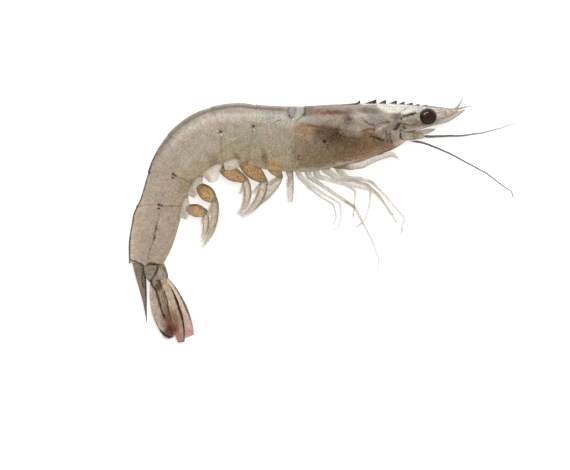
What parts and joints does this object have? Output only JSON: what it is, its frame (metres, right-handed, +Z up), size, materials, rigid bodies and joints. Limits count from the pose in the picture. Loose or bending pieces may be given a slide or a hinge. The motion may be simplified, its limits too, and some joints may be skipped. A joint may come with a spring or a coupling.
{
  "type": "whole raw shrimp",
  "caption": "Whole raw shrimp with its head and shell on, curved and lying on its side, with a toothed crest, feelers, walking legs, swimmerets and a tail fan.",
  "frame": {"origin": "on the surface it lies on, under the middle of its outline seen from above", "axes": "+X towards the head, +Y towards the back, +Z up out of its right side, which faces up as it lies on its left side"},
  "size_m": [0.1284, 0.0812, 0.0177],
  "materials": {
    "head": "wet, half-clear shell over brown organs",
    "shell": "wet, half-clear grey shell with fine dark specks",
    "tail": "wet brown-grey shell with dark edges",
    "fan": "thin brown blades reddening to pink tips",
    "leg": "pale, half-clear and satin",
    "swimmeret": "orange-brown stems with grey blades",
    "feeler": "grey and satin",
    "eye": "dark brown and glossy"
  },
  "bodies": {
    "root": {"head_shell": "head", "abdomen_1": "shell", "abdomen_2": "shell", "abdomen_3": "shell", "abdomen_4": "shell", "abdomen_5": "shell", "abdomen_6": "tail", "telson": "tail", "fan_stem_left": "tail", "fan_stem_right": "tail", "fan_outer_left": "fan", "fan_outer_right": "fan", "fan_inner_left": "fan", "fan_inner_right": "fan", "eye_stalk_left": "head", "eye_stalk_right": "head", "eye_left": "eye", "eye_right": "eye", "small_feeler_left": "head", "small_feeler_right": "head", "feeler_scale_left": "leg", "feeler_scale_right": "leg", "feeler_stem_left": "leg", "feeler_stem_right": "leg", "feeler_left": "feeler", "feeler_right": "feeler", "jaw_leg_left": "leg", "jaw_leg_right": "leg", "leg_1_left": "leg", "leg_1_right": "leg", "leg_2_left": "leg", "leg_2_right": "leg", "leg_3_left": "leg", "leg_3_right": "leg", "leg_4_left": "leg", "leg_4_right": "leg", "leg_5_left": "leg", "leg_5_right": "leg", "swimmeret_1_left": "swimmeret", "swimmeret_1_right": "swimmeret", "swimmeret_2_left": "swimmeret", "swimmeret_2_right": "swimmeret", "swimmeret_3_left": "swimmeret", "swimmeret_3_right": "swimmeret", "swimmeret_4_left": "swimmeret", "swimmeret_4_right": "swimmeret", "swimmeret_5_left": "swimmeret", "swimmeret_5_right": "swimmeret"}
  },
  "joints": []
}
